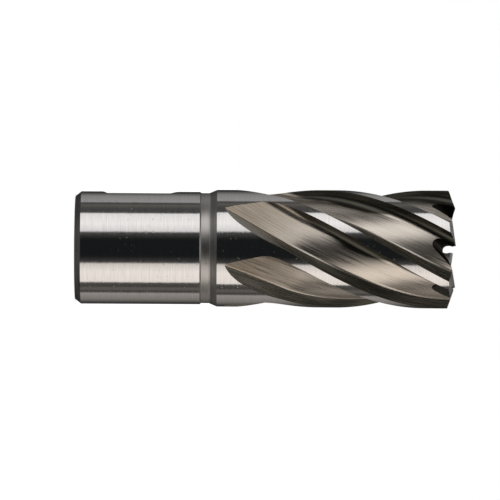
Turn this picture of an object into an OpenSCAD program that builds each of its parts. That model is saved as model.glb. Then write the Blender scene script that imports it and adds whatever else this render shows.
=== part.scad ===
// Annular cutter: a hollow hole-cutting tool ground from one bar of high-speed steel.
// It stands on the end of its shank, with the cutting teeth up. Lengths are in millimetres.

/* [Shank] */
// Diameter of the shank
shank_d = 19.05; // [16:0.05:19.2]
// Height of the shank, from its end to the neck
shank_h = 21.1; // [19:0.1:24]
// Height of the chamfer on the shank's end
shank_chamfer_h = 1.0; // [0.4:0.1:2]
// Inward step of that chamfer
shank_chamfer_r = 0.8; // [0.3:0.1:1.5]
// Diameter of the relieved neck between shank and body
neck_d = 18.65; // [15.6:0.05:18.8]
// Height of the neck
neck_h = 1.8; // [1:0.1:3]
// Height of the chamfer that leads from the neck to the body
shoulder_h = 1.1; // [0.6:0.1:2]

/* [Drive flats] */
// Distance of each drive flat from the axis
flat_r = 8.3; // [7.8:0.05:8.9]
// Lower end of the flats
flat_z0 = 5.4; // [3:0.1:8]
// Upper end of the flats
flat_z1 = 16.1; // [12:0.1:17]
// Direction of the first flat, seen from above
flat_turn = 74.7; // [0:0.1:90]
// Slope of the flats' lower end
flat_low_slope = 45; // [20:1:70]
// Slope of the flats' upper end
flat_high_slope = 30; // [20:1:70]

/* [Body] */
// Cutting diameter, over the teeth
cut_d = 20.0; // [19.6:0.05:20.4]
// Diameter of the body at the shoulder; the difference is the back taper
body_d = 19.8; // [19.4:0.05:20]
// Height of the whole cutter, to the tips of the teeth
total_h = 64.2; // [62:0.1:66]

/* [Inside] */
// Diameter of the bore that takes the slug
core_d = 11.6; // [10.6:0.1:12]
// Height at which the slug bore's wall begins
core_z = 35.5; // [33:0.5:40]
// Diameter of the hole for the pilot pin
pilot_d = 6.4; // [6:0.05:7]
// Countersink at the pilot hole's mouth
pilot_mouth = 0.4; // [0.2:0.1:1]

/* [Flutes] */
// Helix angle at the cutting diameter
helix = 30; // [26:0.5:33]
// Angle at which the grinding wheel is set to the axis
wheel_set = 30; // [28:0.5:32]
// Radius of the grinding wheel that leaves the run-out
wheel_r = 210; // [150:5:300]
// Height of the wheel's middle where it stops
wheel_z = 36.8; // [35.5:0.1:38.5]
// Direction of the wheel's middle where it stops, seen from above
wheel_turn = 15.6; // [0:0.1:60]
// How far the floor's deep corner lies to one side of the wheel's middle
deep_side = 3.7; // [3.3:0.05:4]
// Depth of the floor's deep corner below the cutting radius, on the wheel's middle plane
deep_depth = 2.44; // [2.2:0.02:2.6]
// How far the floor's high corner lies to the other side
high_side = 1.55; // [1.25:0.05:1.85]
// Depth of the floor's high corner below the cutting radius, on the wheel's middle plane
high_depth = 1.74; // [1.5:0.02:1.9]
// Lean of the cutting face from the wheel's middle plane
face_lean = 24; // [18:0.5:30]
// Lean of the back bevel from the wheel's middle plane
bevel_lean = 47; // [42:0.5:54]
// Radius in the corner between floor and cutting face
corner_r = 1.3; // [0.7:0.1:1.6]

/* [Teeth] */
// Distance of the tips from the axis
tip_r = 7.6; // [7:0.1:8.4]
// Direction of the first tip, seen from above
tip_turn = 23.2; // [21:0.1:26]
// Slope of the end from a tip out to the cutting diameter
outer_slope = 17; // [10:0.5:24]
// Slope of the end from a tip in to the slug bore
inner_slope = 16; // [8:0.5:24]
// Relief of the end behind the outer cutting edge
outer_relief = 9; // [5:0.5:13]
// Relief of the end behind the inner cutting edge
inner_relief = 6; // [4:0.5:10]

/* [Gullets] */
// Radius of a gullet's root
gullet_r = 1.1; // [0.9:0.05:1.3]
// Angle between a gullet's two sides
gullet_open = 32; // [20:1:40]
// Height of the middle of the root at the flute's floor
gullet_z = 62; // [61.4:0.1:62.6]
// Direction of the first gullet, seen from above
gullet_turn = 26.6; // [25:0.1:28]
// Lean of the gullets along the flutes
gullet_lean = 25; // [15:1:32]
// Dip of the gullets from the slug bore out to the flutes
gullet_dip = 40; // [25:1:45]
// Turn of the gullets from the radius, seen from above
gullet_skew = 9; // [0:1:15]

/* [Hidden] */
$fn = 96;
steel = [0.66, 0.65, 0.63];

teeth = 6;
pitch = 360 / teeth;
shank_r = shank_d / 2;
neck_r = neck_d / 2;
cut_r = cut_d / 2;
body_r = body_d / 2;
core_r = core_d / 2;
pilot_r = pilot_d / 2;
neck_z = shank_h + neck_h;
body_z = neck_z + shoulder_h;
neck_blend = 0.25;
core_floor_h = (core_r - pilot_r) * tan(31);
over = 1.2;

// The blank's seam, turned clear of the drive flats.
blank_turn = 15;

// Each tooth's share of the circle begins this far ahead of its tip, inside its gullet.
tip_ahead = 8;

// Height gained by the helix in one full turn.
lead = PI * cut_d / tan(helix);

function unit(p) = p / norm(p);

// Flute section, in the plane across the flute: x to the side, y away from the axis.
open_top = max(cut_r, body_r) + 0.4;
deep = [-deep_side, cut_r - deep_depth];
high = [high_side, cut_r - high_depth];
along_floor = unit(high - deep);
up_face = [-sin(face_lean), cos(face_lean)];
up_bevel = [sin(bevel_lean), cos(bevel_lean)];
corner_half = acos(along_floor * up_face) / 2;
corner_mid = deep + unit(along_floor + up_face) * corner_r / sin(corner_half);
face_touch = 180 + face_lean;
floor_touch = 270 + atan2(along_floor[1], along_floor[0]);
corner_steps = 4;
floor_steps = 4;
floor_from = deep + along_floor * corner_r / tan(corner_half);

section = concat(
    [deep + up_face * (open_top - deep[1]) / up_face[1]],
    [for (i = [0 : corner_steps])
        let (a = face_touch + (floor_touch - face_touch) * i / corner_steps)
        corner_mid + corner_r * [cos(a), sin(a)]],
    [for (i = [1 : floor_steps]) floor_from + (high - floor_from) * i / floor_steps],
    [high + up_bevel * (open_top - high[1]) / up_bevel[1]]
);

// A point of the section where the wheel has stopped: u runs along the flute, back to the shank.
function stopped(p, u) = let (
        lift = wheel_r - sqrt(wheel_r * wheel_r - u * u),
        side = p[0] * cos(wheel_set) + u * sin(wheel_set)
    )
    [p[1] + lift, side, wheel_z + u * cos(wheel_set) - p[0] * sin(wheel_set)];

// A point of the section after the work has turned by t degrees on the helix.
function turned(p, t) = let (side = p[0] * cos(wheel_set))
    [p[1] * cos(t) - side * sin(t),
     p[1] * sin(t) + side * cos(t),
     wheel_z + lead * t / 360 - p[0] * sin(wheel_set)];

runout_l = 19;
runout_steps = 8;
helix_turn = (total_h + 3 - wheel_z) / lead * 360;
helix_steps = 22;

function rings() = concat(
    [for (i = [0 : runout_steps]) [for (p = section) stopped(p, -runout_l * (1 - i / runout_steps))]],
    [for (i = [1 : helix_steps]) [for (p = section) turned(p, helix_turn * i / helix_steps)]]
);

// One flute as the wheel leaves it: a swept section with a run-out at the shank.
module flute() {
    all = rings();
    n = len(section);
    m = len(all);
    points = [for (ring = all) each ring];
    sides = [for (j = [0 : m - 2], i = [0 : n - 1])
        let (a = j * n + i, b = j * n + (i + 1) % n, c = a + n, d = b + n)
        each [[a, b, d], [a, d, c]]];
    ends = concat(
        [for (i = [1 : n - 2]) [0, i + 1, i]],
        [for (i = [1 : n - 2]) [(m - 1) * n, (m - 1) * n + i, (m - 1) * n + i + 1]]
    );
    rotate(wheel_turn) polyhedron(points, concat(sides, ends), convexity = 8);
}

// Turned blank with its stepped bore.
module blank() {
    rotate(blank_turn) rotate_extrude() polygon([
        [pilot_r + pilot_mouth, 0],
        [shank_r - shank_chamfer_r, 0],
        [shank_r, shank_chamfer_h],
        [shank_r, shank_h],
        [neck_r, shank_h + neck_blend],
        [neck_r, neck_z - neck_blend],
        [neck_r + 0.1, neck_z],
        [body_r, body_z],
        [cut_r, total_h],
        [cut_r, total_h + 0.4],
        [core_r, total_h + 0.4],
        [core_r, core_z],
        [pilot_r, core_z - core_floor_h],
        [pilot_r, pilot_mouth]
    ]);
}

// Flat ground on one side of the shank for a set screw, sloped at both ends.
module drive_flat() {
    rise = shank_r + over - flat_r;
    rotate([90, 0, 0]) translate([0, 0, -shank_r]) linear_extrude(shank_d) polygon([
        [flat_r, flat_z0],
        [flat_r + rise, flat_z0 - rise / tan(flat_low_slope)],
        [flat_r + rise, flat_z1 + rise / tan(flat_high_slope)],
        [flat_r, flat_z1]
    ]);
}

// Everything above one of the two ground planes of a tooth's end.
module above(slope, relief) {
    translate([tip_r, 0, total_h])
        rotate([relief, slope, 0])
            translate([-cut_d, -cut_d, 0])
                cube([2 * cut_d, 2 * cut_d, cut_d]);
}

// Ground end of one tooth: outer and inner slope, within the tooth's share of the circle.
module tooth_end() {
    reach = 2 * cut_d;
    first = tip_ahead - pitch;
    rotate(tip_turn) intersection() {
        union() {
            above(outer_slope, outer_relief);
            above(-inner_slope, inner_relief);
        }
        translate([0, 0, total_h - cut_r]) linear_extrude(cut_d) polygon([
            [0, 0],
            reach * [cos(first), sin(first)],
            reach * [cos(first + pitch / 2), sin(first + pitch / 2)],
            reach * [cos(tip_ahead), sin(tip_ahead)]
        ]);
    }
}

// Gullet ahead of one tooth: a rounded V ground through the wall into the slug bore.
module gullet() {
    reach = 9;
    root_steps = 10;
    root = [for (i = [0 : root_steps])
        let (a = 180 + (180 - gullet_open) * i / root_steps)
        gullet_r * [cos(a), sin(a)]];
    side = [sin(gullet_open), cos(gullet_open)];
    rotate(gullet_turn) translate([tip_r, 0, gullet_z])
        rotate(-gullet_skew) rotate([-gullet_lean, 0, 0]) rotate([0, gullet_dip, 0])
            translate([-reach / 2, 0, 0]) rotate([90, 0, 90]) linear_extrude(reach)
                polygon(concat(root, [root[root_steps] + reach * side, root[0] + [0, reach]]));
}

module annular_cutter() {
    color(steel) difference() {
        blank();
        for (k = [0 : teeth - 1]) rotate(k * pitch) {
            flute();
            tooth_end();
            gullet();
        }
        for (side = [0, 90]) rotate(flat_turn + side) drive_flat();
    }
}

annular_cutter();
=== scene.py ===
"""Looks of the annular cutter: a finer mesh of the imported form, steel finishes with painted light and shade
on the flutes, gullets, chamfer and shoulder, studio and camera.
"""

import math

import bpy
import numpy as np
from mathutils import Matrix


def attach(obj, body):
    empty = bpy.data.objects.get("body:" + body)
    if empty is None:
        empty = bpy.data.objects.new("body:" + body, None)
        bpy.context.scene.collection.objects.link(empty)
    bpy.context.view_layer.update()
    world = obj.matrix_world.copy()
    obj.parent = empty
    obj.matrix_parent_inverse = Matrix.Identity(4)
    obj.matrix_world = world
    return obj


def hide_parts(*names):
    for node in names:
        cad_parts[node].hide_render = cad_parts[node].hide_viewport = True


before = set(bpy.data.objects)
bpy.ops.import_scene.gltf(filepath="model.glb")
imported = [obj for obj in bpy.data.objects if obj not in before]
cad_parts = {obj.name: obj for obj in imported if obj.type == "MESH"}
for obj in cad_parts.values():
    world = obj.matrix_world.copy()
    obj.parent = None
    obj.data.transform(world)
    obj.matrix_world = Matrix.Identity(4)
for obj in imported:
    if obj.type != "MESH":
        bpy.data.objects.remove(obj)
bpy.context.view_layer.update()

# The part's own dimensions, in millimetres and degrees.
SHANK_R, SHANK_H = 9.525, 21.1
SHANK_CHAMFER_R, SHANK_CHAMFER_H = 0.8, 1.0
NECK_R, NECK_H, NECK_BLEND = 9.325, 1.8, 0.25
SHOULDER_H = 1.1
FLAT_R, FLAT_Z0, FLAT_Z1, FLAT_TURN = 8.3, 5.4, 16.1, 74.7
FLAT_LOW_SLOPE, FLAT_HIGH_SLOPE = 45, 30
CUT_R, BODY_R, TOTAL_H = 10.0, 9.9, 64.2
CORE_R, CORE_Z, CORE_FLOOR_SLOPE, PILOT_R, PILOT_MOUTH = 5.8, 35.5, 31, 3.2, 0.4
HELIX, WHEEL_SET, WHEEL_R, WHEEL_Z, WHEEL_TURN = 30, 30, 210, 36.8, 15.6
DEEP_SIDE, DEEP_DEPTH, HIGH_SIDE, HIGH_DEPTH = 3.7, 2.44, 1.55, 1.74
FACE_LEAN, BEVEL_LEAN, CORNER_R = 24, 47, 1.3
TIP_R, TIP_TURN, TIP_AHEAD = 7.6, 23.2, 8
OUTER_SLOPE, INNER_SLOPE, OUTER_RELIEF, INNER_RELIEF = 17, 16, 9, 6
GULLET_R, GULLET_OPEN, GULLET_Z, GULLET_TURN = 1.1, 32, 62.0, 26.6
GULLET_LEAN, GULLET_DIP, GULLET_SKEW = 25, 40, 9
TEETH = 6
PITCH = 360 / TEETH
LEAD = math.pi * 2 * CUT_R / math.tan(math.radians(HELIX))
RUNOUT_L = 19
OVER = 1.2

# What only the looks need: the rounding of the edge between floor and bevel, the slope that a low crown would
# give the floor's sides, the turn over which it begins, and the length of grind set aside for each flute.
JUNCTION_R = 0.6
CROWN_BEND, CROWN_TURN = 0.14, 13
FLUTE_L = 60
AROUND_STEPS, RUNOUT_STEPS, HELIX_STEPS = 240, 40, 96

# Surfaces of the cutter. Each has its own grind direction and finish.
(SHANK, CHAMFER, END, NECK, SHOULDER, LAND, CORE, CORE_FLOOR, PILOT,
 WALL, FLOOR, BEVEL, TOOTH, GULLET, FLAT, HIDDEN) = range(16)


def sin(degrees):
    return math.sin(math.radians(degrees))


def cos(degrees):
    return math.cos(math.radians(degrees))


def turn_z(degrees):
    """Rotation about the cutter's axis, as a matrix for row vectors."""
    c, s = cos(degrees), sin(degrees)
    return np.array([[c, s, 0], [-s, c, 0], [0, 0, 1]])


def unit(v):
    return v / np.linalg.norm(v, axis=-1, keepdims=True)


class Form:
    """A closed mesh gathered from patches. Each corner keeps the normal that shades it and its grind
    coordinates: the first runs along the grind lines and the second across them, in millimetres."""

    def __init__(self, tool):
        self.sign = -1 if tool else 1
        self.corners, self.normals, self.grinds, self.regions = [], [], [], []

    def patch(self, points, normals, grinds, region):
        """Adds a grid of four-sided faces. The normals point out of the steel."""
        normals = np.broadcast_to(normals, points.shape)

        def cells(a):
            around = np.stack([a[:-1, :-1], a[1:, :-1], a[1:, 1:], a[:-1, 1:]], axis=2)
            return around.reshape(-1, 4, a.shape[-1])

        p, n, g = cells(points), cells(normals), cells(grinds)
        facing = np.cross(p[:, 2] - p[:, 0], p[:, 3] - p[:, 1])
        if (facing * n.sum(axis=1)).sum() * self.sign < 0:
            p, n, g = p[:, ::-1], n[:, ::-1], g[:, ::-1]
        self._take(p[:, :3], n[:, :3], g[:, :3], region)
        self._take(p[:, [0, 2, 3]], n[:, [0, 2, 3]], g[:, [0, 2, 3]], region)

    def fan(self, points, normal, grinds, region):
        """Adds a flat face as a fan from its middle."""
        points, grinds = np.asarray(points, float), np.asarray(grinds, float)

        def cells(a):
            return np.stack([np.broadcast_to(a.mean(axis=0), a.shape), a, np.roll(a, -1, axis=0)], axis=1)

        p, g = cells(points), cells(grinds)
        facing = np.cross(p[:, 1] - p[:, 0], p[:, 2] - p[:, 0]).sum(axis=0)
        if np.dot(facing, normal) * self.sign < 0:
            p, g = p[:, ::-1], g[:, ::-1]
        self._take(p, np.broadcast_to(np.asarray(normal, float), p.shape), g, region)

    def _take(self, p, n, g, region):
        wide = np.linalg.norm(np.cross(p[:, 1] - p[:, 0], p[:, 2] - p[:, 0]), axis=1) > 1e-9
        self.corners.append(p[wide])
        self.normals.append(n[wide])
        self.grinds.append(g[wide])
        self.regions.append(np.full(wide.sum(), region))

    def build(self, name):
        """Welds the patches into one mesh object, in millimetres."""
        corners = np.concatenate(self.corners)
        flat = corners.reshape(-1, 3)
        _, first, index = np.unique(np.round(flat, 5), axis=0, return_index=True, return_inverse=True)
        mesh = bpy.data.meshes.new(name)
        mesh.from_pydata(flat[first].tolist(), [], index.reshape(-1, 3).tolist())
        region = mesh.attributes.new("region", "INT", "FACE")
        region.data.foreach_set("value", np.concatenate(self.regions).astype(np.int32))
        normal = mesh.attributes.new("shade_normal", "FLOAT_VECTOR", "CORNER")
        normal.data.foreach_set("vector", np.concatenate(self.normals).astype(np.float32).ravel())
        grind = mesh.uv_layers.new(name="grind")
        grind.uv.foreach_set("vector", np.concatenate(self.grinds).astype(np.float32).ravel())
        obj = bpy.data.objects.new(name, mesh)
        bpy.context.scene.collection.objects.link(obj)
        return obj


def blank():
    """The turned blank with its stepped bore."""
    neck_z = SHANK_H + NECK_H
    body_z = neck_z + SHOULDER_H
    core_floor_z = CORE_Z - (CORE_R - PILOT_R) * math.tan(math.radians(CORE_FLOOR_SLOPE))
    profile = [
        (PILOT_R + PILOT_MOUTH, 0, END), (SHANK_R - SHANK_CHAMFER_R, 0, CHAMFER),
        (SHANK_R, SHANK_CHAMFER_H, SHANK), (SHANK_R, SHANK_H, NECK), (NECK_R, SHANK_H + NECK_BLEND, NECK),
        (NECK_R, neck_z - NECK_BLEND, NECK), (NECK_R + 0.1, neck_z, SHOULDER), (BODY_R, body_z, LAND),
        (CUT_R, TOTAL_H, LAND), (CUT_R, TOTAL_H + 0.4, HIDDEN), (CORE_R, TOTAL_H + 0.4, CORE),
        (CORE_R, CORE_Z, CORE_FLOOR), (PILOT_R, core_floor_z, PILOT), (PILOT_R, PILOT_MOUTH, PILOT),
    ]
    form = Form(tool=False)
    turn = np.radians(np.linspace(0, 360, AROUND_STEPS + 1))
    around = np.stack([np.cos(turn), np.sin(turn), np.zeros_like(turn)], axis=1)
    for (r0, z0, region), (r1, z1, _) in zip(profile, profile[1:] + profile[:1]):
        rows = np.array([(r0, z0), (r1, z1)], float)
        points = around[:, None] * rows[None, :, :1]
        points[..., 2] = rows[:, 1]
        out = unit(np.array([z1 - z0, r0 - r1], float))
        normals = around[:, None] * out[0] + np.array([0, 0, out[1]])
        across = np.array([0, math.hypot(r1 - r0, z1 - z0)]) + (z0 if region in (SHANK, LAND, NECK) else 0)
        grinds = np.stack(np.broadcast_arrays(turn[:, None] * max(r0, r1), across[None, :]), axis=2)
        form.patch(points, np.broadcast_to(normals, points.shape), grinds, region)
    return form.build("annular_cutter_steel")


def flute_section():
    """Pieces of the section across a flute: points, directions along it, distance across and region."""
    deep = np.array([-DEEP_SIDE, CUT_R - DEEP_DEPTH])
    high = np.array([HIGH_SIDE, CUT_R - HIGH_DEPTH])
    along = unit(high - deep)
    up_face = np.array([-sin(FACE_LEAN), cos(FACE_LEAN)])
    up_bevel = np.array([sin(BEVEL_LEAN), cos(BEVEL_LEAN)])
    half = math.acos(along @ up_face) / 2
    middle = deep + unit(along + up_face) * CORNER_R / math.sin(half)
    open_top = CUT_R + 0.4
    face_top = deep + up_face * (open_top - deep[1]) / up_face[1]
    face_end = deep + up_face * CORNER_R / math.tan(half)
    floor_start = deep + along * CORNER_R / math.tan(half)
    floor_tilt = math.degrees(math.atan2(along[1], along[0]))
    bevel_tilt = 90 - BEVEL_LEAN
    floor_end = high - along * JUNCTION_R * math.tan(math.radians((bevel_tilt - floor_tilt) / 2))
    bevel_start = high + up_bevel * np.linalg.norm(high - floor_end)
    crest = floor_end + JUNCTION_R * np.array([-along[1], along[0]])
    b = np.radians(np.linspace(floor_tilt - 90, bevel_tilt - 90, 5))
    junction = crest + JUNCTION_R * np.stack([np.cos(b), np.sin(b)], axis=1)
    junction_way = np.stack([-np.sin(b), np.cos(b)], axis=1)
    bevel_top = high + up_bevel * (open_top - high[1]) / up_bevel[1]
    a = np.radians(np.linspace(180 + FACE_LEAN, 270 + floor_tilt, 9))
    fillet = middle + CORNER_R * np.stack([np.cos(a), np.sin(a)], axis=1)
    fillet_way = np.stack([-np.sin(a), np.cos(a)], axis=1)

    def straight(p, q, steps):
        s = np.linspace(0, 1, steps + 1)[:, None]
        return p + (q - p) * s, np.broadcast_to(unit(q - p), (steps + 1, 2))

    parts = [
        (*straight(face_top, face_end, 4), WALL), (fillet, fillet_way, FLOOR),
        (*straight(floor_start, floor_end, 12), FLOOR), (junction, junction_way, FLOOR),
        (*straight(bevel_start, bevel_top, 4), BEVEL),
        (*straight(bevel_top, face_top, 1), HIDDEN),
    ]
    across, start = [], 0.0
    for points, _, _ in parts:
        steps = np.linalg.norm(np.diff(points, axis=0), axis=1)
        across.append(start + np.concatenate([[0], np.cumsum(steps)]))
        start = across[-1][-1]
    return [(points, ways, s, region) for (points, ways, region), s in zip(parts, across)]


def crowned(ways):
    """Directions along the floor as a low crown would have them, for its shading where the work turns."""
    bend = np.linspace(CROWN_BEND, -CROWN_BEND, len(ways))[:, None]
    return unit(ways + bend * ways[:, ::-1] * [-1, 1])


def sweep(points, ways, turned_ways):
    """The section's points and shading normals as the wheel stops and as the work turns on the helix."""
    c, s = cos(WHEEL_SET), sin(WHEEL_SET)
    v, n = points[None, :, 0], points[None, :, 1]
    dv, dn = ways[None, :, 0], ways[None, :, 1]
    u = np.linspace(-RUNOUT_L, 0, RUNOUT_STEPS + 1)[:-1, None]
    root = np.sqrt(WHEEL_R ** 2 - u ** 2)
    one = np.ones_like(u * v)
    out = [np.stack([n + WHEEL_R - root, v * c + u * s, WHEEL_Z + u * c - v * s], axis=2)]
    travel = [np.stack([u / root * one, s * one, c * one], axis=2)]
    cross = [np.stack([dn * one, dv * c * one, -dv * s * one], axis=2)]
    end_turn = (TOTAL_H + 3 - WHEEL_Z) / LEAD * 360
    t = np.radians(np.linspace(0, end_turn, HELIX_STEPS + 1))[:, None]
    ct, st = np.cos(t), np.sin(t)
    blend = np.clip(t / math.radians(CROWN_TURN), 0, 1)
    blend = blend * blend * (3 - 2 * blend)
    dv, dn = (ways[:, i] + blend * (turned_ways - ways)[:, i] for i in (0, 1))
    one = np.ones_like(t * v)
    height = WHEEL_Z + LEAD * t / math.tau - v * s * one
    out.append(np.stack([n * ct - v * c * st, n * st + v * c * ct, height], axis=2))
    travel.append(np.stack([-n * st - v * c * ct, n * ct - v * c * st, LEAD / math.tau * one], axis=2))
    cross.append(np.stack([dn * ct - dv * c * st, dn * st + dv * c * ct, -dv * s * one], axis=2))
    out, travel, cross = (np.concatenate(a) for a in (out, travel, cross))
    normals = unit(np.cross(cross, travel))
    # The wheel leaves no kink where it begins to travel.
    soft = np.exp(-np.linspace(-2, 2, 13) ** 2)
    padded = np.concatenate([normals[:1]] * 6 + [normals] + [normals[-1:]] * 6)
    normals = unit(sum(w * padded[i:i + len(normals)] for i, w in enumerate(soft)))
    step = np.linalg.norm(np.diff(out.mean(axis=1), axis=0), axis=1)
    return out, normals, np.concatenate([[0], np.cumsum(step)])


def flutes():
    """The six flutes, each swept with its run-out at the shank."""
    form = Form(tool=True)
    section = flute_section()
    for k in range(TEETH):
        turn = turn_z(WHEEL_TURN + k * PITCH)
        first, last = [], []
        for points, ways, across, region in section:
            # Only the straight part of the floor is shaded with the crown.
            straight_floor = region == FLOOR and np.ptp(ways[:, 0]) == 0
            out, normals, along = sweep(points, ways, crowned(ways) if straight_floor else ways)
            grinds = np.stack(np.broadcast_arrays(along[:, None] + FLUTE_L * k, across[None, :]), axis=2)
            form.patch(out @ turn, normals @ turn, grinds, region)
            first.append(out[0, :-1] @ turn)
            last.append(out[-1, :-1] @ turn)
        for ring, way in ((np.concatenate(first), 1), (np.concatenate(last), -1)):
            form.fan(ring, np.array([0, 0, way]), np.zeros((len(ring), 2)), HIDDEN)
    return form.build("flutes")


def tooth_ends():
    """What the two ground slopes of each tooth's end take away, within the tooth's share of the circle."""
    def slope(b, a):
        return np.array([cos(a) * sin(b), -sin(a), cos(a) * cos(b)])

    outer, inner = slope(OUTER_SLOPE, OUTER_RELIEF), slope(-INNER_SLOPE, INNER_RELIEF)

    def height(normal, x, y):
        return TOTAL_H - (normal[0] * (x - TIP_R) + normal[1] * y) / normal[2]

    form = Form(tool=True)
    near, reach, top = 3.0, 14.0, TOTAL_H + 4
    lean = (inner[1] / inner[2] - outer[1] / outer[2]) / (outer[0] / outer[2] - inner[0] / inner[2])
    sides = (TIP_AHEAD - PITCH + 0.02, TIP_AHEAD - 0.02)
    for k in range(TEETH):
        turn = turn_z(TIP_TURN + k * PITCH)
        plan = []
        for a in sides:
            ridge = TIP_R / (cos(a) - lean * sin(a))
            plan.append([(r * cos(a), r * sin(a)) for r in (near, ridge, reach)])
        (n0, r0, f0), (n1, r1, f1) = plan
        mid = (reach * 1.2 * cos(sum(sides) / 2), reach * 1.2 * sin(sum(sides) / 2))
        low = {}
        for normal, plane in ((inner, (n0, n1, r0, r1)), (outer, (f0, f1, mid))):
            for p in plane:
                low[p] = np.array([*p, height(normal, *p)])
        high = {p: np.array([*p, top]) for p in low}
        for ring, normal in (((n0, r0, r1, n1), inner), ((r0, f0, mid, f1, r1), outer)):
            points = np.array([low[p] for p in ring])
            form.fan(points @ turn, normal @ turn, points[:, [1, 0]] + 17 * k, TOOTH)
        ring = (n0, r0, f0, mid, f1, r1, n1)
        form.fan(np.array([high[p] for p in ring]) @ turn, np.array([0, 0, -1]), np.zeros((7, 2)), HIDDEN)
        centre = np.mean([high[p] for p in ring], axis=0)
        for p, q in zip(ring, ring[1:] + ring[:1]):
            wall = np.array([low[p], low[q], high[q], high[p]])
            inward = np.cross(wall[1] - wall[0], [0, 0, 1])
            inward *= np.sign(inward @ (centre - wall[0]) * np.array([1, 1, 0]))
            form.fan(wall @ turn, inward @ turn, np.zeros((4, 2)), HIDDEN)
    return form.build("tooth_ends")


def bar(outline, normals, places, half, move, region_of):
    """A tool of constant section, drawn out along one line. Each edge of its outline has two normals."""
    form = Form(tool=True)
    line = np.array([-half, half])
    edges = zip(outline, outline[1:] + outline[:1])
    for (p, q), (a, b), (s, e), region in zip(edges, normals, places, region_of):
        points = np.array([[(x, *p) for x in line], [(x, *q) for x in line]])
        ways = np.array([[(0, *a)] * 2, [(0, *b)] * 2])
        grinds = np.array([[(x, s) for x in line], [(x, e) for x in line]])
        form.patch(*move(points, ways), grinds, region)
    for x, way in ((-half, 1), (half, -1)):
        ring = np.array([[(x, *p) for p in outline]])
        points, ways = move(ring, np.broadcast_to(np.array([way, 0, 0], float), ring.shape))
        form.fan(points[0], ways[0, 0], np.zeros((len(outline), 2)), HIDDEN)
    return form


def gullet(k):
    """The gullet ahead of one tooth: a rounded V ground through the wall into the slug bore."""
    reach, steps = 9, 20
    angles = [180 + (180 - GULLET_OPEN) * i / steps for i in range(steps + 1)]
    root = [(GULLET_R * cos(a), GULLET_R * sin(a)) for a in angles]
    side = (sin(GULLET_OPEN), cos(GULLET_OPEN))
    outline = root + [(root[-1][0] + reach * side[0], root[-1][1] + reach * side[1]), (root[0][0], reach)]
    inward = [(-cos(a), -sin(a)) for a in angles]
    normals = list(zip(inward, inward[1:])) + [(inward[-1],) * 2, ((0, -1),) * 2, (inward[0],) * 2]
    arc = [math.radians(a) * GULLET_R for a in angles]
    places = list(zip(arc, arc[1:])) + [(arc[-1], arc[-1] + reach), (0, 1), (arc[0] - reach, arc[0])]
    dip = Matrix.Rotation(math.radians(GULLET_DIP), 3, "Y")
    lean = Matrix.Rotation(math.radians(-GULLET_LEAN), 3, "X")
    skew = Matrix.Rotation(math.radians(-GULLET_SKEW), 3, "Z")
    spin = Matrix.Rotation(math.radians(GULLET_TURN + k * PITCH), 3, "Z")
    pose = np.array(skew @ lean @ dip)
    spin = np.array(spin)

    def move(points, ways):
        return (points @ pose.T + [TIP_R, 0, GULLET_Z]) @ spin.T, ways @ pose.T @ spin.T

    return bar(outline, normals, places, reach / 2, move, [GULLET] * len(outline)).build(f"gullet_{k}")


def drive_flat(turn):
    """A flat ground on one side of the shank for a set screw, sloped at both ends."""
    rise = SHANK_R + OVER - FLAT_R
    low = FLAT_Z0 - rise / math.tan(math.radians(FLAT_LOW_SLOPE))
    high = FLAT_Z1 + rise / math.tan(math.radians(FLAT_HIGH_SLOPE))
    outline = [(FLAT_R, FLAT_Z0), (FLAT_R + rise, low), (FLAT_R + rise, high), (FLAT_R, FLAT_Z1)]
    low_way = (sin(FLAT_LOW_SLOPE), cos(FLAT_LOW_SLOPE))
    high_way = (sin(FLAT_HIGH_SLOPE), -cos(FLAT_HIGH_SLOPE))
    normals = [(way, way) for way in (low_way, (-1, 0), high_way, (1, 0))]
    places = [(-2, 0), (0, 1), (14, 12), (12, 0)]
    spin = turn_z(turn)

    def move(points, ways):
        return points[..., [1, 0, 2]] @ spin, ways[..., [1, 0, 2]] @ spin

    form = bar(outline, normals, places, SHANK_R, move, [FLAT, HIDDEN, FLAT, FLAT])
    return form.build(f"flat_{turn}")


def ground_cutter():
    """Cuts the blank as the grinder does and returns the finished mesh, in metres."""
    obj = blank()
    tools = [flutes(), tooth_ends()] + [gullet(k) for k in range(TEETH)]
    tools += [drive_flat(FLAT_TURN), drive_flat(FLAT_TURN + 90)]
    for tool in tools:
        cut = obj.modifiers.new(tool.name, "BOOLEAN")
        cut.operation = "DIFFERENCE"
        cut.solver = "MANIFOLD"
        cut.object = tool
    graph = bpy.context.evaluated_depsgraph_get()
    mesh = bpy.data.meshes.new_from_object(obj.evaluated_get(graph), depsgraph=graph)
    obj.modifiers.clear()
    obj.data = mesh
    for tool in tools:
        bpy.data.objects.remove(tool)
    mesh.transform(Matrix.Scale(0.001, 4))
    normals = np.empty(len(mesh.loops) * 3, np.float32)
    mesh.attributes["shade_normal"].data.foreach_get("vector", normals)
    regions = np.empty(len(mesh.polygons), np.int32)
    mesh.attributes["region"].data.foreach_get("value", regions)
    mesh.polygons.foreach_set("use_smooth", np.ones(len(mesh.polygons), bool))
    mesh.normals_split_custom_set(unit(normals.reshape(-1, 3)).tolist())
    mesh.attributes.remove(mesh.attributes["shade_normal"])
    return obj, regions


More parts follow.
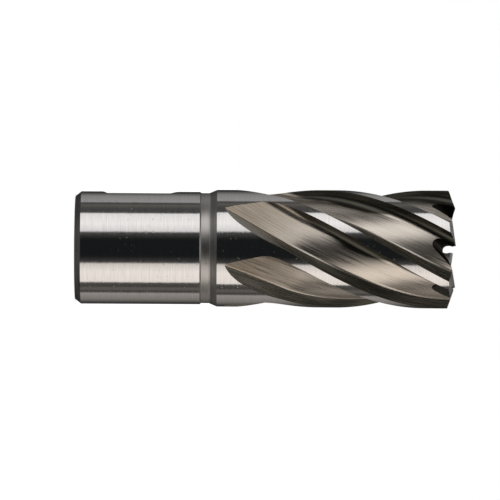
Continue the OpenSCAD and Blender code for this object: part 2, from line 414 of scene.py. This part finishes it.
class Nodes:
    """Short hand for one material's node tree."""

    def __init__(self, name):
        self.material = bpy.data.materials.new(name)
        self.material.use_nodes = True
        self.tree = self.material.node_tree
        self.shader = self.tree.nodes["Principled BSDF"]

    def add(self, kind, **settings):
        node = self.tree.nodes.new(kind)
        for key, value in settings.items():
            setattr(node, key, value)
        return node

    def link(self, out, into):
        self.tree.links.new(out, into)

    def noise(self, place, along, across, detail=3.0, offset=0.0):
        """Noise drawn out along the grind lines: its grain is along by across, in millimetres."""
        mapping = self.add("ShaderNodeMapping")
        mapping.inputs["Scale"].default_value = (1 / along, 1 / across, 1)
        mapping.inputs["Location"].default_value = (offset, offset * 1.7, 0)
        self.link(place, mapping.inputs["Vector"])
        noise = self.add("ShaderNodeTexNoise", noise_dimensions="2D")
        noise.inputs["Scale"].default_value = 1
        noise.inputs["Detail"].default_value = detail
        noise.inputs["Roughness"].default_value = 0.6
        self.link(mapping.outputs["Vector"], noise.inputs["Vector"])
        return noise.outputs["Fac"]

    def ramp(self, value, low, high, out_low, out_high):
        node = self.add("ShaderNodeMapRange")
        numbers = {"From Min": low, "From Max": high, "To Min": out_low, "To Max": out_high}
        for name, number in numbers.items():
            node.inputs[name].default_value = number
        self.link(value, node.inputs["Value"])
        return node.outputs["Result"]

    def sum(self, a, b, operation="ADD"):
        node = self.add("ShaderNodeMath", operation=operation)
        for socket, value in zip(node.inputs, (a, b)):
            if isinstance(value, (int, float)):
                socket.default_value = value
            else:
                self.link(value, socket)
        return node.outputs[0]

    def mix(self, factor, a, b):
        node = self.add("ShaderNodeMix", data_type="RGBA")
        for socket, value in ((node.inputs["Factor"], factor), (node.inputs[6], a), (node.inputs[7], b)):
            if isinstance(value, tuple):
                socket.default_value = (*value, 1)
            else:
                self.link(value, socket)
        return node.outputs[2]


def painted_corner_shade(n, travel, across):
    """How strongly painted shade darkens the flute's corner beside the wall, from 0 to 1. The travel along
    the flute and the distance across it are in millimetres. The painted shade is wider after the run-out,
    most of all a little way behind it and by the teeth."""
    from_middle = n.sum(n.sum(travel, 29.5, "SUBTRACT"), 0, "ABSOLUTE")
    reach = n.ramp(from_middle, 2, 6, 1.0, 0)
    reach = n.sum(reach, n.ramp(travel, 13, 22, -1.0, 0.8))
    reach = n.sum(reach, n.ramp(travel, 40, 46, 0, 0.7))
    return n.ramp(n.sum(across, reach, "SUBTRACT"), 2.4, 2.9, 1, 0)


def ground_steel(name, colours, rough, grain, bump, anisotropy, ripple=0.0, specks=0.0, edge=1.0,
                 painted_runout_light_and_shade=None, corner=None):
    """Ground steel: lines along the grind, uneven gloss from line to line, short ripples and a few pits.
    A flute's colours can change in the run-out to other colours painted with light and shade, and in the
    corner beside the wall to one dark colour, painted shade."""
    n = Nodes(name)
    place = n.add("ShaderNodeUVMap", uv_map="grind").outputs["UV"]
    along, across = grain
    fine = n.noise(place, along, across, detail=1.5)
    broad = n.noise(place, along * 2.5, across * 5, detail=2.0, offset=31.0)
    both = n.sum(n.sum(fine, 0.7, "MULTIPLY"), n.sum(broad, 0.3, "MULTIPLY"))
    lines = n.ramp(both, 0.34, 0.66, 0, 1)
    colour = n.mix(lines, *colours)
    roughness = n.ramp(both, 0.34, 0.66, *rough)
    height = both
    if ripple:
        height = n.sum(both, n.sum(n.noise(place, 0.7, 0.18, offset=7.0), ripple, "MULTIPLY"))
    if specks:
        cells = n.add("ShaderNodeTexVoronoi", voronoi_dimensions="2D")
        cells.inputs["Scale"].default_value = 0.9
        n.link(place, cells.inputs["Vector"])
        few = n.add("ShaderNodeSeparateColor")
        n.link(cells.outputs["Color"], few.inputs["Color"])
        pit = n.ramp(cells.outputs["Distance"], 0.05, 0.16, 1, 0)
        pit = n.sum(pit, n.ramp(few.outputs["Red"], 0.84, 0.86, 0, specks), "MULTIPLY")
        roughness = n.sum(roughness, pit)
        colour = n.mix(pit, colour, colours[0])
    if painted_runout_light_and_shade or corner:
        where = n.add("ShaderNodeSeparateXYZ")
        n.link(place, where.inputs["Vector"])
        travel = n.sum(where.outputs["X"], FLUTE_L, "MODULO")
    # Painted light and shade: in the run-out the colours fade to other colours, darker on the floor and
    # lighter on the bevel.
    if painted_runout_light_and_shade:
        colour = n.mix(n.ramp(travel, 12, 24, 1, 0), colour, n.mix(lines, *painted_runout_light_and_shade))
    # Painted shade: the corner beside the wall is darkened towards one dark colour.
    if corner:
        colour = n.mix(painted_corner_shade(n, travel, where.outputs["Y"]), colour, corner)
    n.link(colour, n.shader.inputs["Base Color"])
    n.link(roughness, n.shader.inputs["Roughness"])
    n.shader.inputs["Specular Tint"].default_value = (edge, edge, edge, 1)
    relief = n.add("ShaderNodeBump")
    relief.inputs["Strength"].default_value = 1
    relief.inputs["Distance"].default_value = bump
    n.link(height, relief.inputs["Height"])
    n.link(relief.outputs["Normal"], n.shader.inputs["Normal"])
    tangent = n.add("ShaderNodeTangent", direction_type="UV_MAP", uv_map="grind")
    n.link(tangent.outputs["Tangent"], n.shader.inputs["Tangent"])
    n.shader.inputs["Metallic"].default_value = 1
    n.shader.inputs["Anisotropic"].default_value = anisotropy
    n.shader.inputs["Anisotropic Rotation"].default_value = 0.25
    return n.material


cutter, regions = ground_cutter()

# Each finish: dark and light colour, least and most roughness, grain along and across the lines, depth of the
# lines in metres, and how far the gloss is drawn out across them.
bright = ground_steel("ground_bright", ((0.76, 0.75, 0.74), (0.84, 0.83, 0.82)), (0.10, 0.14),
                      (4.0, 0.22), 5e-6, 0.6, ripple=1.0, specks=0.3)
# Painted shade: the chamfer's turned steel is given a much darker colour than the neck's.
chamfer_painted_shade = ground_steel("turned_chamfer_painted_shade", ((0.17, 0.168, 0.162), (0.25, 0.246, 0.238)), (0.46, 0.56),
                    (6.0, 0.25), 4e-6, 0.4, specks=0.3)
# Painted shade: the shoulder's turned steel is darkened for the way light falls on its slope.
slope = ground_steel("turned_shoulder_painted_shade", ((0.26, 0.257, 0.246), (0.37, 0.364, 0.35)), (0.46, 0.56),
                     (6.0, 0.25), 4e-6, 0.4, specks=0.3)
turned = ground_steel("turned_satin", ((0.58, 0.565, 0.545), (0.72, 0.705, 0.685)), (0.40, 0.48),
                      (6.0, 0.25), 4e-6, 0.4, specks=0.4)
# The flute floor: brownish ground steel of its own, with painted shade in the run-out and in the corner
# beside the wall.
flute_floor_and_painted_shade = ground_steel("ground_flute_and_painted_shade", ((0.64, 0.585, 0.50), (1.0, 0.93, 0.84)), (0.25, 0.38),
                       (7.0, 0.13), 8e-6, 0.5, painted_runout_light_and_shade=((0.30, 0.258, 0.20), (0.63, 0.55, 0.452)),
                       corner=(0.1, 0.097, 0.08))
# Painted shade: the flute wall's steel is given a near-black colour for the shade it stands in.
face = ground_steel("ground_wall_painted_shade", ((0.10, 0.098, 0.08), (0.17, 0.165, 0.135)), (0.28, 0.38),
                    (6.0, 0.2), 4e-6, 0.4)
# Painted light and shade: the bevel's steel is dark along the helix as painted shade and light in the run-out
# as painted light.
bevel_painted_light_and_shade = ground_steel("ground_bevel_painted_light_and_shade", ((0.165, 0.158, 0.13), (0.28, 0.265, 0.225)), (0.24, 0.32),
                     (7.0, 0.2), 4e-6, 0.5, painted_runout_light_and_shade=((0.54, 0.515, 0.455), (0.66, 0.63, 0.56)))
bore = ground_steel("bored", ((0.34, 0.33, 0.31), (0.48, 0.47, 0.45)), (0.36, 0.50),
                    (8.0, 0.3), 4e-6, 0.3)
tooth = ground_steel("ground_tooth", ((0.72, 0.71, 0.68), (0.88, 0.86, 0.83)), (0.34, 0.44),
                     (5.0, 0.15), 2e-6, 0.3)
# Painted shade: the gullets and the hidden faces are near black, with the tint at grazing angles turned down
# too.
gullet_painted_shade = ground_steel("ground_gullet_painted_shade", ((0.02, 0.02, 0.017), (0.06, 0.057, 0.05)), (0.40, 0.55),
                    (4.0, 0.2), 4e-6, 0.3, edge=0.1)

finish = {SHANK: bright, CHAMFER: chamfer_painted_shade, END: turned, NECK: turned, SHOULDER: slope, LAND: bright,
          CORE: bore, CORE_FLOOR: bore, PILOT: bore, WALL: face, FLOOR: flute_floor_and_painted_shade, BEVEL: bevel_painted_light_and_shade,
          TOOTH: tooth, GULLET: gullet_painted_shade, FLAT: bright, HIDDEN: gullet_painted_shade}
finishes = list(dict.fromkeys(finish.values()))
cutter.data.materials.clear()
for m in finishes:
    cutter.data.materials.append(m)
finish_index = np.array([finishes.index(finish[r]) for r in regions], np.int32)
cutter.data.polygons.foreach_set("material_index", finish_index)
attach(cutter, "root")
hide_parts("annular_cutter")


def studio_card(name, verts, faces, glow):
    """A card of the studio that only reflections show, with a level of light at each of its points."""
    mesh = bpy.data.meshes.new(name)
    mesh.from_pydata(verts, [], faces)
    level = mesh.attributes.new("glow", "FLOAT_COLOR", "POINT")
    level.data.foreach_set("color", np.array([(*g, 1) for g in glow], np.float32).ravel())
    m = bpy.data.materials.new(name)
    m.use_nodes = True
    m.node_tree.nodes.clear()
    read = m.node_tree.nodes.new("ShaderNodeAttribute")
    read.attribute_name = "glow"
    light = m.node_tree.nodes.new("ShaderNodeEmission")
    out = m.node_tree.nodes.new("ShaderNodeOutputMaterial")
    m.node_tree.links.new(read.outputs["Color"], light.inputs["Color"])
    m.node_tree.links.new(light.outputs[0], out.inputs["Surface"])
    mesh.materials.append(m)
    obj = bpy.data.objects.new(name, mesh)
    bpy.context.scene.collection.objects.link(obj)
    obj.visible_camera = obj.visible_diffuse = obj.visible_transmission = obj.visible_shadow = False


def card(name, start, end, level, colour):
    """A curved card whose level fades from one end to the other. Its angles go round from the camera to the
    picture's top."""
    steps = max(2, round(abs(end - start) / 4))
    verts, glow = [], []
    for i in range(steps + 1):
        a = start + (end - start) * i / steps
        light = level[0] + (level[1] - level[0]) * i / steps
        verts += [(-CARD_R * sin(a), -CARD_R * cos(a), z) for z in (CARD_LOW, CARD_HIGH)]
        glow += [tuple(light * c for c in colour)] * 2
    studio_card(name, verts, [(2 * i, 2 * i + 2, 2 * i + 3, 2 * i + 1) for i in range(steps)], glow)


def ring(name, z, near, far, level, colour):
    """A flat round card above or below the cutter, open in the middle."""
    verts = [(r * cos(a), r * sin(a), z) for a in range(0, 360, 6) for r in (near, far)]
    n = len(verts)
    faces = [(2 * i, 2 * i + 1, (2 * i + 3) % n, (2 * i + 2) % n) for i in range(n // 2)]
    studio_card(name, verts, faces, [tuple(level * c for c in colour)] * n)


CARD_R, CARD_LOW, CARD_HIGH, GLOW_R = 0.5, -0.44, 0.36, 0.26
COOL, PLAIN, WARM, BROWN = (0.85, 0.95, 1.0), (1.0, 0.98, 0.975), (1.0, 0.93, 0.87), (1.0, 0.94, 0.86)
card("front_flag", -18, 18, (0.012, 0.012), COOL)
card("upper_lip", 18, 32.5, (0.012, 0.07), PLAIN)
card("upper_softbox_near", 32.5, 50, (0.78, 1.02), PLAIN)
card("upper_softbox_far", 50, 74.5, (1.02, 0.88), PLAIN)
card("upper_gap", 74.5, 89, (0.06, 0.07), PLAIN)
card("upper_wall", 89, 99, (0.08, 0.13), BROWN)
card("upper_seam", 99, 106, (0.07, 0.07), PLAIN)
card("upper_back", 106, 130, (0.34, 0.26), PLAIN)
card("upper_fall", 130, 150, (0.26, 0.05), PLAIN)
card("back_flag", 150, 210, (0.045, 0.045), PLAIN)
card("lower_lip", -18, -31.5, (0.012, 0.06), PLAIN)
card("lower_softbox_near", -31.5, -50, (0.70, 0.98), WARM)
card("lower_softbox_far", -50, -75, (0.98, 0.92), WARM)
card("lower_gap", -75, -88, (0.08, 0.06), BROWN)
card("lower_wall", -88, -97, (0.12, 0.12), BROWN)
card("lower_seam", -97, -105, (0.065, 0.07), BROWN)
card("lower_back", -105, -130, (0.34, 0.22), WARM)
card("lower_fall", -130, -150, (0.22, 0.05), WARM)
ring("floor_flag", CARD_LOW, GLOW_R, CARD_R, 0.06, BROWN)
ring("floor_glow", CARD_LOW, 0.0, GLOW_R, 0.35, PLAIN)
ring("ceiling_flag", CARD_HIGH, 0.16, CARD_R, 0.06, BROWN)

scene = bpy.context.scene
scene.view_settings.view_transform = "Standard"

floor_mesh = bpy.data.meshes.new("floor")
floor_mesh.from_pydata([(-4, -4, 0), (4, -4, 0), (4, 12, 0), (-4, 12, 0)], [], [(0, 1, 2, 3)])
floor = bpy.data.objects.new("floor", floor_mesh)
scene.collection.objects.link(floor)
paper = Nodes("floor_paper")
paper.shader.inputs["Base Color"].default_value = (0.35, 0.35, 0.35, 1)
paper.shader.inputs["Roughness"].default_value = 0.9
paper.shader.inputs["Emission Color"].default_value = (1, 1, 1, 1)
paper.shader.inputs["Emission Strength"].default_value = 0.8
floor_mesh.materials.append(paper.material)
floor.visible_glossy = False

world = bpy.data.worlds.new("studio")
scene.world = world
world.use_nodes = True
tree = world.node_tree
tree.nodes.clear()
path = tree.nodes.new("ShaderNodeLightPath")
seen = tree.nodes.new("ShaderNodeMath")
seen.operation = "MAXIMUM"
also = tree.nodes.new("ShaderNodeMath")
also.operation = "MAXIMUM"
tree.links.new(path.outputs["Is Camera Ray"], seen.inputs[0])
tree.links.new(path.outputs["Is Glossy Ray"], seen.inputs[1])
tree.links.new(seen.outputs[0], also.inputs[0])
tree.links.new(path.outputs["Is Transmission Ray"], also.inputs[1])
plain = tree.nodes.new("ShaderNodeBackground")
plain.inputs["Strength"].default_value = 0.8
white = tree.nodes.new("ShaderNodeBackground")
white.inputs["Color"].default_value = (1, 1, 1, 1)
white.inputs["Strength"].default_value = 1
plain.inputs["Color"].default_value = (1, 1, 1, 1)
choose = tree.nodes.new("ShaderNodeMixShader")
out = tree.nodes.new("ShaderNodeOutputWorld")
tree.links.new(also.outputs[0], choose.inputs[0])
tree.links.new(plain.outputs[0], choose.inputs[1])
tree.links.new(white.outputs[0], choose.inputs[2])
tree.links.new(choose.outputs[0], out.inputs["Surface"])

# The photo's camera: square on to the axis, turned so that the cutter lies across the picture.
camera_data = bpy.data.cameras.new("camera")
camera = bpy.data.objects.new("camera", camera_data)
scene.collection.objects.link(camera)
camera_data.sensor_width = 36
camera_data.lens = 446
camera_data.clip_start = 0.01
roll = 0.35
right = np.array([-sin(roll), 0, cos(roll)])
up = np.array([-cos(roll), 0, -sin(roll)])
back = np.cross(right, up)
pose = Matrix.Identity(4)
for i in range(3):
    pose[i][0], pose[i][1], pose[i][2] = right[i], up[i], back[i]
pose.translation = (0.000255, -1.05, 0.02959)
camera.matrix_world = pose
scene.camera = camera
